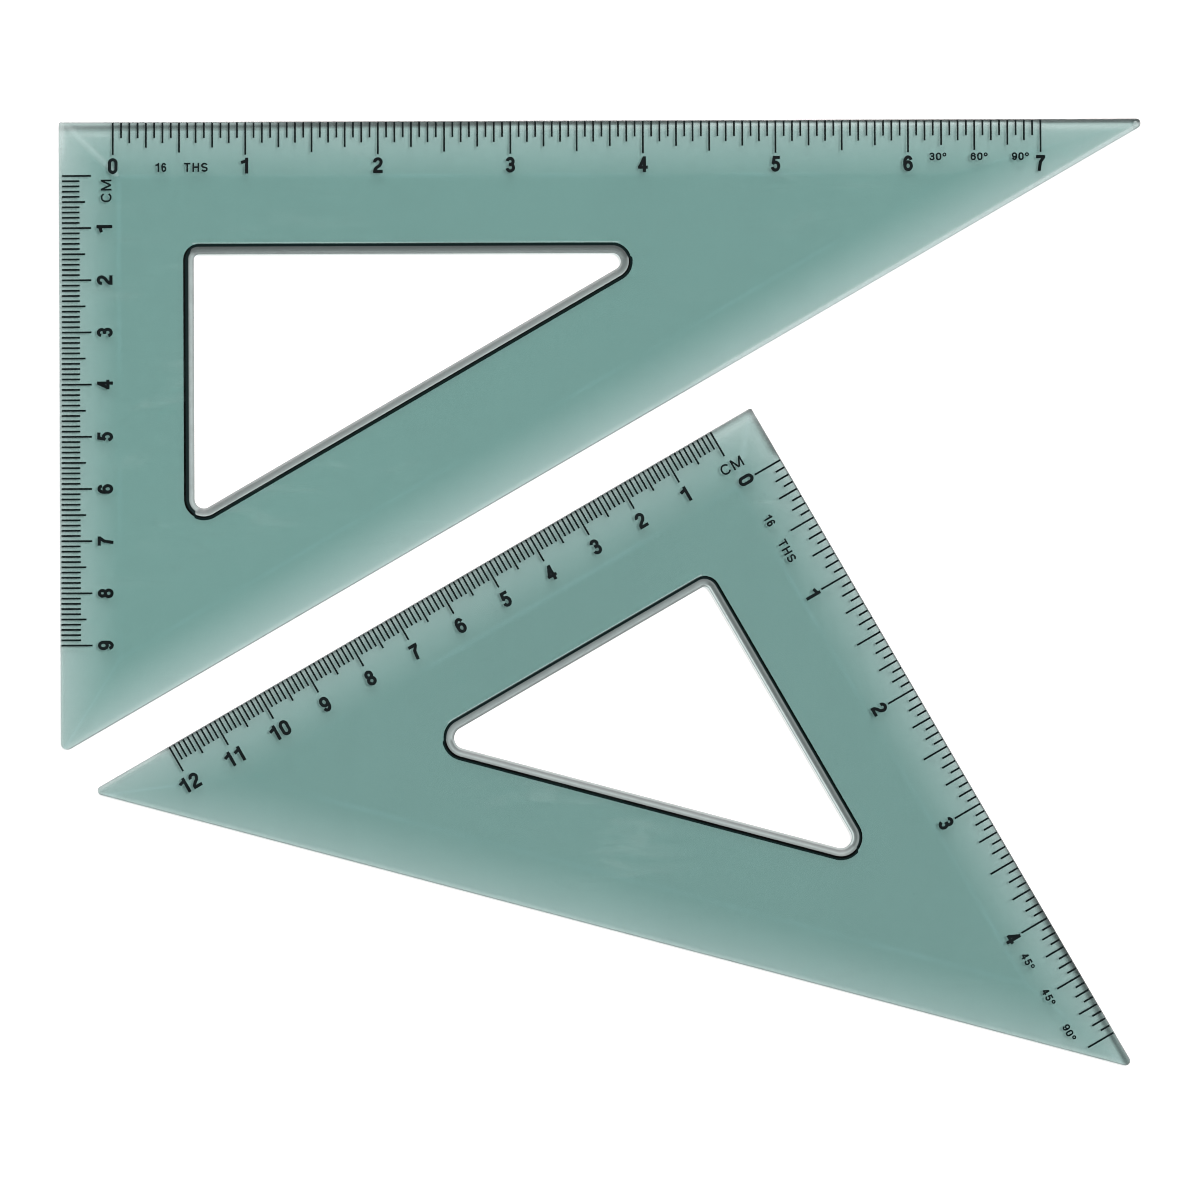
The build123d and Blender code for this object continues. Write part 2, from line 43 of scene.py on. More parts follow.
# Painted shade and painted highlights across each outer edge: mm inwards, painted brightness, share of
# painted pale sheen.
# Far from the right-angle corner, then beside it; then the side on which the
# edge runs away from that corner, and where one gives way to the other, mm.
# After that, shadings that take over further along, with where they fade in.
PAINTED_EDGE_LIGHT = {
    "plate_30_60": (
        (((0.0, 0.60, 0.0), (0.2, 0.52, 0.0), (0.3, 0.74, 0.0), (0.4, 0.80, 0.0), (0.5, 0.75, 0.0),
          (0.7, 0.48, 0.0), (0.95, 0.33, 0.0), (1.2, 0.42, 0.0), (1.6, 0.68, 0.0), (1.9, 1.0, 0.0),
          (2.4, 1.0, 0.0)),
         ((0.0, 0.50, 0.0), (0.25, 0.86, 0.06), (0.42, 0.94, 0.05), (0.6, 0.80, 0.0),
          (0.85, 0.52, 0.0), (1.15, 0.42, 0.0), (1.6, 0.66, 0.0), (2.0, 0.94, 0.02),
          (2.5, 1.0, 0.09), (3.2, 1.0, 0.0)), 90.0, (8.8, 11.2),
         (((0.0, 0.50, 0.0), (0.2, 0.34, 0.0), (0.3, 0.25, 0.0), (0.45, 0.31, 0.0),
           (0.8, 0.30, 0.0), (1.0, 0.40, 0.0), (1.2, 0.61, 0.0), (1.5, 0.95, 0.0),
           (1.8, 1.0, 0.02), (2.4, 1.0, 0.0)), (34.0, 48.0)),
         (((0.0, 0.45, 0.0), (0.2, 0.26, 0.0), (0.3, 0.19, 0.0), (0.5, 0.26, 0.0),
           (0.7, 0.37, 0.0), (0.9, 0.65, 0.0), (1.05, 0.98, 0.02), (1.2, 1.0, 0.13),
           (1.4, 1.0, 0.13), (1.7, 1.0, 0.05), (2.3, 1.0, 0.0)), (74.0, 90.0)),
         (((0.0, 0.40, 0.0), (0.2, 0.19, 0.0), (0.3, 0.20, 0.0), (0.4, 0.28, 0.0),
           (0.5, 0.40, 0.0), (0.6, 0.66, 0.0), (0.7, 1.0, 0.04), (0.8, 1.0, 0.20),
           (0.9, 1.0, 0.28), (1.05, 1.0, 0.20), (1.3, 1.0, 0.09), (2.0, 1.0, 0.03),
           (2.6, 1.0, 0.0)), (112.0, 128.0)),
         (((0.0, 0.45, 0.0), (0.2, 0.20, 0.0), (0.3, 0.26, 0.0), (0.6, 0.33, 0.0),
           (0.8, 0.57, 0.0), (1.0, 0.98, 0.02), (1.2, 1.0, 0.16), (1.6, 1.0, 0.17),
           (2.0, 1.0, 0.08), (2.6, 1.0, 0.0)), (183.0, 190.0))),
        (((0.0, 0.92, 0.08), (0.25, 1.0, 0.11), (0.5, 1.0, 0.04), (0.8, 1.0, 0.0)),
         ((0.0, 0.96, 0.20), (0.4, 1.0, 0.26), (0.8, 1.0, 0.22), (1.2, 1.0, 0.12),
          (1.8, 1.0, 0.0)), -90.0, (2.5, 9.5)),
        (((0.0, 0.28, 0.0), (0.16, 0.46, 0.0), (0.30, 1.0, 0.05), (0.7, 1.0, 0.03), (0.95, 1.0, 0.0)),
         ((0.0, 0.45, 0.0), (0.14, 0.75, 0.12), (0.26, 1.0, 0.32), (0.70, 1.0, 0.30),
          (0.90, 1.0, 0.12), (1.10, 0.97, 0.0), (1.6, 1.0, 0.0)), 90.0, (90.0, 108.0))),
    "plate_45": (
        (((0.0, 0.60, 0.0), (0.2, 0.52, 0.0), (0.4, 0.56, 0.0), (0.6, 0.84, 0.0),
          (0.8, 1.0, 0.04), (1.1, 1.0, 0.07), (1.9, 1.0, 0.0)),
         ((0.0, 0.55, 0.0), (0.4, 0.50, 0.0), (0.8, 0.80, 0.0), (1.2, 1.0, 0.05),
          (1.6, 1.0, 0.12), (2.4, 1.0, 0.05), (3.4, 1.0, 0.0)), -90.0, (8.0, 10.0),
         (((0.0, 0.62, 0.0), (0.16, 0.84, 0.06), (0.3, 1.0, 0.20), (0.5, 1.0, 0.22),
           (0.7, 1.0, 0.10), (1.0, 1.0, 0.03), (1.6, 1.0, 0.0)), (128.0, 133.0))),
        (((0.0, 0.55, 0.0), (0.2, 0.58, 0.0), (0.38, 0.88, 0.02), (0.6, 1.0, 0.11),
          (1.2, 1.0, 0.06), (2.2, 1.0, 0.0)),
         ((0.0, 0.45, 0.0), (0.4, 0.38, 0.0), (0.8, 0.60, 0.0), (1.2, 0.86, 0.0),
          (1.6, 0.98, 0.0), (2.4, 1.0, 0.03), (3.2, 1.0, 0.0)), 90.0, (8.8, 11.8),
         (((0.0, 0.45, 0.0), (0.2, 0.26, 0.0), (0.3, 0.23, 0.0), (0.5, 0.25, 0.0),
           (0.7, 0.36, 0.0), (0.9, 0.54, 0.0), (1.2, 0.82, 0.0), (1.5, 1.0, 0.0),
           (2.2, 1.0, 0.0)), (88.0, 118.0)),
         (((0.0, 0.95, 0.0), (0.2, 0.80, 0.0), (0.4, 0.60, 0.0), (0.6, 0.46, 0.0),
           (0.85, 0.37, 0.0), (1.05, 0.42, 0.0), (1.3, 0.66, 0.0), (1.6, 0.95, 0.0),
           (2.0, 1.0, 0.02), (2.6, 1.0, 0.0)), (124.0, 140.0))),
        (((0.0, 0.36, 0.0), (0.14, 0.55, 0.0), (0.28, 1.0, 0.04), (0.9, 1.0, 0.0)),
         None, 90.0, None)),
}
# window opening: right-angle corner, directions and lengths of its two legs,
# corner radii at the right angle and at the ends of the two legs, metres
WINDOWS = {
    "plate_30_60": ((0.0258, -0.02545), (0.0, -90.0), (0.0862, 0.0500),
                    (0.0010, 0.0016, 0.0018), 0.0, CORNER_60),
    "plate_45": ((-0.0244, -0.02505), (180.0, -90.0), (0.05985, 0.05985),
                 (0.0010, 0.0021, 0.0021), 30.0, CORNER_45),
}
# painted light and shade across the window lip (mm outwards from the opening, painted
# brightness), on the side beside the first leg, the second leg and the hypotenuse
LIP_PAINTED_SHADE = {
    "plate_30_60": (((0.1, 0.140), (0.5, 0.125), (0.95, 0.102), (1.35, 0.105)),
                    ((0.1, 0.200), (0.5, 0.300), (0.90, 0.260), (1.05, 0.110)),
                    ((0.15, 0.170), (0.45, 0.082), (0.90, 0.095), (1.20, 0.165), (1.50, 0.36))),
    "plate_45": (((0.1, 0.095), (0.3, 0.190), (0.5, 0.310), (0.75, 0.275), (1.0, 0.250),
                  (1.38, 0.190)),
                 ((0.06, 0.280), (0.14, 0.340), (0.24, 0.500), (0.38, 0.460), (0.50, 0.120),
                  (0.80, 0.062), (1.02, 0.150), (1.2, 0.240)),
                 ((0.2, 0.280), (0.5, 0.080), (0.72, 0.130), (0.98, 0.250), (1.30, 0.190),
                  (1.50, 0.170))),
}
# painted dark line beside the lip, painted shade where the rim step traps the light, mm outwards from
# the opening, on the same sides
DARK_LINE = {
    "plate_30_60": ((1.43, 1.90), (1.03, 1.62), (1.83, 2.28)),
    "plate_45": ((1.47, 1.87), (1.41, 1.75), (1.93, 2.30)),
}
# the first leg's side also has a painted highlight, a bright line just outside the dark one
PAINTED_HIGHLIGHT_LINE = {"plate_30_60": (1.95, 2.20, 0.27), "plate_45": (1.94, 2.22, 0.27)}
# brightness of the painted highlight along the mitre crease at the right-angle corner
MITRE_HIGHLIGHT = {"plate_30_60": 0.11, "plate_45": 0.04}
# round tips with a painted dark outline and a painted bright loop: centre of the round, where the tip
# points, radius
ROUND_30 = 0.00095 / math.sin(math.radians(15.0))
TIPS = {
    "plate_30_60": (((CORNER_60[0] + 0.210 - ROUND_30 * math.cos(math.radians(15.0)),
                      CORNER_60[1] - ROUND_30 * math.sin(math.radians(15.0))), 15.0, 0.00095),),
    "plate_45": (),
}


# ------------------------------------------------------------- node helpers
class Graph:
    def __init__(self, tree):
        self.tree = tree
        tree.nodes.clear()

    def add(self, kind, **values):
        node = self.tree.nodes.new(kind)
        for key, value in values.items():
            if key.startswith("in_"):
                name = key[3:].replace("_", " ")
                name = int(name) if name.isdigit() else name
                self.put(node.inputs[name], value)
            else:
                setattr(node, key, value)
        return node

    def put(self, socket, value):
        if isinstance(value, bpy.types.NodeSocket):
            self.tree.links.new(value, socket)
        elif isinstance(value, bpy.types.Node):
            self.tree.links.new(value.outputs[0], socket)
        else:
            socket.default_value = value

    def math(self, op, a, b=None, clamp=False):
        node = self.tree.nodes.new("ShaderNodeMath")
        node.operation = op
        node.use_clamp = clamp
        self.put(node.inputs[0], a)
        if b is not None:
            self.put(node.inputs[1], b)
        return node.outputs[0]

    def remap(self, value, a, b, c=0.0, d=1.0, smooth=True):
        node = self.tree.nodes.new("ShaderNodeMapRange")
        node.interpolation_type = "SMOOTHSTEP" if smooth else "LINEAR"
        node.clamp = True
        for i, v in enumerate((value, a, b, c, d)):
            self.put(node.inputs[i], v)
        return node.outputs[0]

    def mix(self, fac, a, b, blend="MIX"):
        node = self.tree.nodes.new("ShaderNodeMix")
        node.data_type = "RGBA"
        node.blend_type = blend
        self.put(node.inputs[0], fac)
        self.put(node.inputs[6], a)
        self.put(node.inputs[7], b)
        return node.outputs[2]

    def noise(self, vector, scale, detail=3.0, rough=0.5, distortion=0.0):
        return self.add("ShaderNodeTexNoise", in_Vector=vector, in_Scale=scale,
                        in_Detail=detail, in_Roughness=rough,
                        in_Distortion=distortion).outputs[0]

    def turned(self, vector, angle, scale):
        node = self.add("ShaderNodeMapping", in_Vector=vector)
        node.inputs["Rotation"].default_value = (0, 0, math.radians(angle))
        node.inputs["Scale"].default_value = scale
        return node.outputs[0]


def rgb(r, g, b):
    """Linear colour of 0-255 display values."""
    out = []
    for c in (r, g, b):
        c /= 255
        out.append(c / 12.92 if c <= 0.04045 else ((c + 0.055) / 1.055) ** 2.4)
    return (*out, 1.0)


# ---------------------------------------------------------- tinted plastic
def scratches(g, coords, angle, density, seed):
    """Thin hairlines running along one direction, 0 to 1."""
    moved = g.add("ShaderNodeVectorMath", operation="ADD", in_0=coords,
                  in_1=(seed, seed * 0.7, 0.0))
    warp = g.noise(moved, 18.0, 2.0)
    bent = g.add("ShaderNodeVectorMath", operation="SCALE", in_0=(0.0, 1.0, 0.0))
    g.put(bent.inputs["Scale"], g.math("MULTIPLY", warp, 0.012))
    vec = g.add("ShaderNodeVectorMath", operation="ADD", in_0=moved, in_1=bent)
    vec = g.turned(vec, angle, (26.0, 1500.0, 0.0))
    line = g.noise(vec, 1.0, 1.0, 0.4)
    thin = g.remap(line, density, density + 0.045)
    patch = g.remap(g.noise(moved, 42.0, 2.0), 0.47, 0.60)
    return g.math("MULTIPLY", thin, patch)


def specks(g, coords, scale, size, share, seed):
    """Sparse round spots, 0 to 1."""
    moved = g.add("ShaderNodeVectorMath", operation="ADD", in_0=coords,
                  in_1=(seed, 1.3 * seed, 0.0))
    flat = g.turned(moved, 0.0, (1.0, 1.0, 0.0))
    cell = g.add("ShaderNodeTexVoronoi", in_Vector=flat, in_Scale=scale)
    cell.feature = "F1"
    pick = g.add("ShaderNodeSeparateColor", in_0=cell.outputs["Color"])
    keep = g.math("GREATER_THAN", pick.outputs[0], 1.0 - share)
    radius = g.math("MULTIPLY", pick.outputs[1], size)
    inside = g.math("SUBTRACT", radius, cell.outputs["Distance"])
    spot = g.remap(inside, 0.0, size * 0.35)
    return g.math("MULTIPLY", spot, keep)


def edge_distance(g, coords, edge):
    """Distance inwards from one straight outer edge, metres."""
    (px, py), angle = edge[0], edge[1]
    nx, ny = math.cos(math.radians(angle)), math.sin(math.radians(angle))
    along = g.add("ShaderNodeVectorMath", operation="DOT_PRODUCT", in_0=coords,
                  in_1=(nx, ny, 0.0)).outputs["Value"]
    return g.math("SUBTRACT", along, px * nx + py * ny)


def strip(g, value, start, end, soft):
    """1 where start < value < end, with soft sides."""
    rise = g.remap(value, g.math("SUBTRACT", start, soft), g.math("ADD", start, soft))
    fall = g.remap(value, g.math("SUBTRACT", end, soft), g.math("ADD", end, soft), 1.0, 0.0)
    return g.math("MULTIPLY", rise, fall)


def bevel_ridges(g, coords, bevels, tol):
    """1 along the creases of the moulded face, where two bevels or a bevel and
    the flat middle meet, falling to 0 beside them; masks for the painted crease highlights."""
    heights = [None]
    for (px, py), angle, width, edge in bevels:
        nx, ny = math.cos(math.radians(angle)), math.sin(math.radians(angle))
        slope = (MID_T - edge) / width
        along = g.add("ShaderNodeVectorMath", operation="DOT_PRODUCT", in_0=coords,
                      in_1=(nx * slope, ny * slope, 0.0)).outputs["Value"]
        heights.append(g.math("ADD", along, edge - (px * nx + py * ny) * slope))
    heights[0] = g.add("ShaderNodeValue").outputs[0]
    heights[0].default_value = MID_T
    lowest = heights[0]
    for h in heights[1:]:
        lowest = g.math("MINIMUM", lowest, h)
    count = None
    for h in heights:
        near = g.remap(g.math("SUBTRACT", h, lowest), 0.0, tol, 1.0, 0.0)
        count = near if count is None else g.math("ADD", count, near)
    # soft band along the mitre of the two legs' bevels
    apart = g.math("ABSOLUTE", g.math("SUBTRACT", heights[1], heights[2]))
    below = g.math("LESS_THAN", g.math("MAXIMUM", heights[1], heights[2]), MID_T)
    mitre = g.math("MULTIPLY", g.remap(apart, 0.0, 1.1e-4, 1.0, 0.0), below)
    return g.math("SUBTRACT", count, 1.0, clamp=True), mitre


def dot(g, vector, direction):
    return g.add("ShaderNodeVectorMath", operation="DOT_PRODUCT", in_0=vector,
                 in_1=(direction[0], direction[1], 0.0)).outputs["Value"]


def window_distance(g, coords, window):
    """Distance outwards from the window opening, and outwards from its three
    sides: beside the first leg, the second leg and the hypotenuse."""
    inset, turns, lengths, radii, turn, place = window
    spin = Matrix.Rotation(math.radians(turn), 2)
    legs = [spin @ Vector((math.cos(math.radians(a)), math.sin(math.radians(a)))) for a in turns]
    right = spin @ Vector(inset) + Vector(place)
    points = (right, right + legs[0] * lengths[0], right + legs[1] * lengths[1])
    middle = (points[0] + points[1] + points[2]) / 3
    sides = []
    for p, q in ((points[0], points[1]), (points[0], points[2]), (points[1], points[2])):
        u = (q - p).normalized()
        n = Vector((-u.y, u.x))
        if n.dot(middle - p) > 0:
            n = -n
        sides.append(g.math("SUBTRACT", dot(g, coords, n), n.dot(p)))
    far = g.math("MAXIMUM", g.math("MAXIMUM", sides[0], sides[1]), sides[2])
    for i, r in enumerate(radii):
        p = points[i]
        a = (points[(i + 1) % 3] - p).normalized()
        b = (points[(i + 2) % 3] - p).normalized()
        half = a.angle(b) / 2
        c = p + (a + b).normalized() * (r / math.sin(half))
        past_a = g.math("LESS_THAN", g.math("SUBTRACT", dot(g, coords, a), a.dot(c)), 0.0)
        past_b = g.math("LESS_THAN", g.math("SUBTRACT", dot(g, coords, b), b.dot(c)), 0.0)
        flat = g.add("ShaderNodeVectorMath", operation="MULTIPLY", in_0=coords,
                     in_1=(1.0, 1.0, 0.0))
        reach = g.add("ShaderNodeVectorMath", operation="DISTANCE", in_0=flat,
                      in_1=(c.x, c.y, 0.0)).outputs["Value"]
        inside = g.math("MULTIPLY", past_a, past_b)
        round_d = g.math("MULTIPLY", inside, g.math("SUBTRACT", reach, r - 1.0))
        far = g.math("MAXIMUM", far, g.math("SUBTRACT", round_d, 1.0))
    return far, sides


def painted_edge_ramp(g, d, stops):
    """Painted brightness (red, painted shade) and painted sheen share (green) across an outer edge, d
    in metres.
    """
    span = stops[-1][0] + 0.6
    ramp = g.add("ShaderNodeValToRGB", in_0=g.math("MULTIPLY", d, 1000.0 / span))
    ramp.color_ramp.interpolation = "LINEAR"
    while len(ramp.color_ramp.elements) < len(stops):
        ramp.color_ramp.elements.new(0.5)
    for element, (at, keep, highlight_share) in zip(ramp.color_ramp.elements, stops):
        element.position = at / span
        element.color = (keep, highlight_share, 0.0, 1)
    return ramp.outputs[0]


def lip_shading(g, far, sides, painted_lip_shades, lines):
    """Painted light and shade across the window lip, and where the painted dark line beside it runs,
    both blended between the three sides."""
    ramps, darks = [], []
    reach = g.math("MULTIPLY", far, 1000.0 / 2.0)
    for stops, (start, end) in zip(painted_lip_shades, lines):
        ramp = g.add("ShaderNodeValToRGB", in_0=reach)
        ramp.color_ramp.interpolation = "LINEAR"
        while len(ramp.color_ramp.elements) < len(stops):
            ramp.color_ramp.elements.new(0.5)
        for element, (at, level) in zip(ramp.color_ramp.elements, stops):
            element.position = at / 2.0
            element.color = (level * 0.88, level * 1.10, level * 1.075, 1)
        ramps.append(ramp.outputs[0])
        darks.append((start / 1000, end / 1000))
    second = g.remap(g.math("SUBTRACT", sides[1], sides[0]), -0.0008, 0.0008)
    third = g.remap(g.math("SUBTRACT", sides[2], g.math("MAXIMUM", sides[0], sides[1])),
                    -0.0008, 0.0008)
    tone = g.mix(third, g.mix(second, ramps[0], ramps[1]), ramps[2])

    def place(k):
        a = g.math("ADD", g.math("MULTIPLY", second, darks[1][k] - darks[0][k]), darks[0][k])
        b = g.math("MULTIPLY", third, g.math("SUBTRACT", darks[2][k], a))
        return g.math("ADD", a, b)
    return tone, strip(g, far, place(0), place(1), 0.00005)


def tinted_plastic(name, seed, shade, bevels, painted_edge_light, window, painted_lip_shades, lines, painted_highlight_line,
                   mitre_highlight_level, tips):
    mat = bpy.data.materials.new(name)
    mat.use_nodes = True
    g = Graph(mat.node_tree)
    coords = g.add("ShaderNodeTexCoord").outputs["Object"]
    moved = g.add("ShaderNodeVectorMath", operation="ADD", in_0=coords,
                  in_1=(seed, seed * 0.37, 0.0)).outputs[0]

    # surface: slow mould waviness, finer orange peel, hairlines and specks
    wave = g.noise(g.turned(moved, 24.0, (1.0, 0.45, 1.0)), 55.0, 2.0, 0.45)
    peel = g.noise(moved, 900.0, 3.0, 0.55)
    hair_a = scratches(g, moved, 17.0, 0.735, 0.21)
    hair_b = scratches(g, moved, -52.0, 0.745, 0.58)
    hairs = g.math("ADD", hair_a, hair_b, clamp=True)
    dust = specks(g, moved, 150.0, 0.030, 0.10, 0.4)
    fine = specks(g, moved, 420.0, 0.060, 0.05, 0.9)

    bump = g.add("ShaderNodeBump", in_Strength=1.0, in_Distance=1.7e-5, in_Height=wave)
    bump = g.add("ShaderNodeBump", in_Strength=0.35, in_Distance=1.2e-6, in_Height=peel,
                 in_Normal=bump)
    bump = g.add("ShaderNodeBump", in_Strength=0.6, in_Distance=4.0e-6, in_Height=hairs,
                 in_Normal=bump)
    bump = g.add("ShaderNodeBump", in_Strength=0.7, in_Distance=1.2e-5,
                 in_Height=g.math("ADD", dust, fine), in_Normal=bump)

    haze = g.remap(g.noise(moved, 30.0, 3.0), 0.3, 0.75, 0.012, 0.030)
    rough = g.math("ADD", haze, g.math("MULTIPLY", hairs, 0.22))
    rough = g.math("ADD", rough, g.math("MULTIPLY", fine, 0.10), clamp=True)

    # clarity: flow streaks from moulding, faint smudges and specks, with painted highlights along the
    # bright creases
    flow = g.noise(g.turned(moved, -30.0, (1.0, 0.25, 1.0)), 26.0, 4.0, 0.6, 0.6)
    tint = g.mix(g.remap(flow, 0.32, 0.70), (0.918, 0.812, 0.832, 1), (0.954, 0.844, 0.862, 1))
    smudge = g.math("MULTIPLY", g.remap(g.noise(moved, 210.0, 3.0, 0.65, 0.9), 0.60, 0.74),
                    g.remap(g.noise(moved, 38.0, 2.0), 0.52, 0.64))
    tint = g.mix(g.math("MULTIPLY", smudge, 0.35), tint, (0.80, 0.84, 0.84, 1))
    # painted highlights along the bevel creases, broken up by noise
    crease_highlight, mitre = bevel_ridges(g, coords, bevels, 5.5e-5)
    crease_highlight = g.math("MULTIPLY", crease_highlight, g.remap(g.noise(moved, 45.0, 2.0), 0.38, 0.66, 0.06, 0.75))
    tint = g.mix(crease_highlight, tint, (1.0, 0.90, 0.94, 1))
    tint = g.mix(g.math("MULTIPLY", hairs, 0.12), tint, (1.0, 1.0, 1.0, 1))
    # painted shade and painted highlights inside each outer edge: dark and bright lines
    # painted where its soft rounding would bend light away or gather it
    painted_sheen_and_flow_marks = None
    for edge, (far_stops, near_stops, side, turn, *later) in zip(bevels, painted_edge_light):
        wobble = g.math("MULTIPLY", g.math("SUBTRACT", g.noise(moved, 95.0, 1.0), 0.5), 0.00005)
        d = g.math("ADD", edge_distance(g, coords, edge), wobble)
        look = painted_edge_ramp(g, d, far_stops)
        if near_stops:
            run = edge_distance(g, coords, (edge[0], edge[1] + side))
            near = g.remap(run, turn[0] / 1000, turn[1] / 1000, 1.0, 0.0)
            look = g.mix(near, look, painted_edge_ramp(g, d, near_stops))
            for stops, (start, full) in later:
                past = g.remap(run, start / 1000, full / 1000)
                look = g.mix(past, look, painted_edge_ramp(g, d, stops))
        look = g.add("ShaderNodeSeparateColor", in_0=look)
        # the red channel is painted shade multiplied into the tint, the green one the painted sheen
        # share
        keep = g.add("ShaderNodeCombineColor", in_0=look.outputs[0], in_1=look.outputs[0],
                     in_2=look.outputs[0])
        tint = g.mix(1.0, tint, keep, "MULTIPLY")
        # painted highlight share from this edge, gathered with the other painted sheens
        part = look.outputs[1]
        painted_sheen_and_flow_marks = part if painted_sheen_and_flow_marks is None else g.math("MAXIMUM", painted_sheen_and_flow_marks, part)
    # painted shade round each tip, and a painted highlight loop just inside it
    for (cx, cy), turn, radius in tips:
        ux, uy = math.cos(math.radians(turn)), math.sin(math.radians(turn))
        beyond = g.remap(g.math("SUBTRACT", dot(g, coords, (ux, uy)), cx * ux + cy * uy),
                         -0.0011, 0.0)
        flat = g.add("ShaderNodeVectorMath", operation="MULTIPLY", in_0=coords,
                     in_1=(1.0, 1.0, 0.0))
        reach = g.add("ShaderNodeVectorMath", operation="DISTANCE", in_0=flat,
                      in_1=(cx, cy, 0.0)).outputs["Value"]
        painted_tip_shade = g.math("MULTIPLY", beyond, strip(g, reach, radius - 0.00046, radius + 0.001, 0.0001))
        tint = g.mix(g.math("MULTIPLY", painted_tip_shade, 0.62), tint, (0.10, 0.12, 0.12, 1))
        painted_tip_highlight = g.math("MULTIPLY", beyond, strip(g, reach, radius - 0.00085, radius - 0.0005, 0.0001))
        painted_sheen_and_flow_marks = g.math("MAXIMUM", painted_sheen_and_flow_marks, g.math("MULTIPLY", painted_tip_highlight, 0.30))
    # painted highlight along the mitre crease
    painted_sheen_and_flow_marks = g.math("MAXIMUM", painted_sheen_and_flow_marks, g.math("MULTIPLY", mitre, mitre_highlight_level))
    # milky flow marks left by the moulding, in a few patches, laid into the same pale layer as the
    # painted highlights
    milk = g.noise(g.turned(moved, 14.0, (1.0, 4.2, 1.0)), 52.0, 4.0, 0.62, 0.8)
    milk = g.math("MULTIPLY", g.remap(milk, 0.52, 0.74),
                  g.remap(g.noise(moved, 13.0, 1.0), 0.50, 0.66))
    painted_sheen_and_flow_marks = g.math("ADD", painted_sheen_and_flow_marks, g.math("MULTIPLY", milk, 0.07))
    tint = g.mix(g.math("MULTIPLY", dust, 0.55), tint, rgb(60, 84, 82))
    tint = g.mix(g.math("MULTIPLY", fine, 0.22), tint, rgb(90, 112, 110))

    surface = g.add("ShaderNodeBsdfPrincipled", in_Roughness=rough, in_IOR=1.49,
                    in_Normal=bump)
    g.put(surface.inputs["Base Color"], tint)
    g.put(surface.inputs["Transmission Weight"], 1.0)

    geometry = g.add("ShaderNodeNewGeometry")
    normal = g.add("ShaderNodeSeparateXYZ", in_0=geometry.outputs["True Normal"])
    upright = g.math("ABSOLUTE", normal.outputs[2])

    # the window's lip, on its slope and its ledge, gets a satin layer painted with light and shade; the
    # same layer carries the painted highlights
    lip = g.math("MAXIMUM", strip(g, upright, 0.80, 0.88, 0.004),
                 strip(g, upright, 0.955, 0.985, 0.003))
    far, sides = window_distance(g, coords, window)
    painted_light_tone, dark_line = lip_shading(g, far, sides, painted_lip_shades, lines)
    # the painted lip shade is darker in random patches
    cloud = g.noise(moved, 420.0, 3.0, 0.6)
    painted_light_tone = g.mix(g.remap(cloud, 0.3, 0.7, 0.0, 0.22), painted_light_tone, (0.10, 0.12, 0.12, 1))
    # painted highlight: a bright line just outside the dark line on the first leg's side
    line = g.math("MULTIPLY", strip(g, sides[0], painted_highlight_line[0] / 1000, painted_highlight_line[1] / 1000, 0.00007),
                  g.remap(g.math("SUBTRACT", far, sides[0]), 0.00002, 0.0004, 1.0, 0.0))
    # beyond the lip the layer takes a pale tone, for the painted highlights
    painted_light_tone = g.mix(g.math("GREATER_THAN", far, 0.0021), painted_light_tone, (0.58, 0.66, 0.65, 1))
    # painted light: the bevels are painted a little paler round the right-angle corner
    px, py = bevels[0][0]
    flat = g.add("ShaderNodeVectorMath", operation="MULTIPLY", in_0=coords, in_1=(1.0, 1.0, 0.0))
    reach = g.add("ShaderNodeVectorMath", operation="DISTANCE", in_0=flat,
                  in_1=(px, py, 0.0)).outputs["Value"]
    painted_corner_light = g.math("MULTIPLY", g.remap(reach, 0.002, 0.0125, 1.0, 0.0), 0.09)
    painted_layer_bump = g.add("ShaderNodeBump", in_Strength=0.6, in_Distance=3e-6,
                       in_Height=g.noise(moved, 6500.0, 1.0))
    painted_light_layer = g.add("ShaderNodeBsdfPrincipled", in_Roughness=0.32, in_IOR=1.49,
                  in_Normal=painted_layer_bump)
    painted_light_layer.inputs["Specular IOR Level"].default_value = 0.3
    g.put(painted_light_layer.inputs["Base Color"], painted_light_tone)
    share = g.math("ADD", g.math("MULTIPLY", lip, 0.80), g.math("MULTIPLY", line, painted_highlight_line[2]))
    share = g.math("ADD", share, g.math("ADD", painted_sheen_and_flow_marks, painted_corner_light), clamp=True)
    surface = g.add("ShaderNodeMixShader", in_0=share, in_1=surface, in_2=painted_light_layer)
    # sawn-looking side walls, painted a dark teal that stands in for the tinted light they gather from
    # the whole plate
    painted_wall_share = g.math("MULTIPLY", g.remap(upright, 0.25, 0.40, 1.0, 0.0),
                  g.remap(g.noise(moved, 700.0, 2.0), 0.3, 0.7, 0.50, 0.64))
    painted_wall_tint = g.add("ShaderNodeBsdfPrincipled", in_Roughness=0.22, in_IOR=1.49)
    g.put(painted_wall_tint.inputs["Base Color"], (0.030, 0.112, 0.100, 1))
    surface = g.add("ShaderNodeMixShader", in_0=painted_wall_share, in_1=surface, in_2=painted_wall_tint)
    # painted shade: a near-black matte layer along the dark line by the rim step
    black = g.add("ShaderNodeBsdfDiffuse", in_Color=(0.004, 0.010, 0.010, 1))
    surface = g.add("ShaderNodeMixShader", in_0=g.math("MULTIPLY", dark_line, 0.96),
                    in_1=surface, in_2=black)
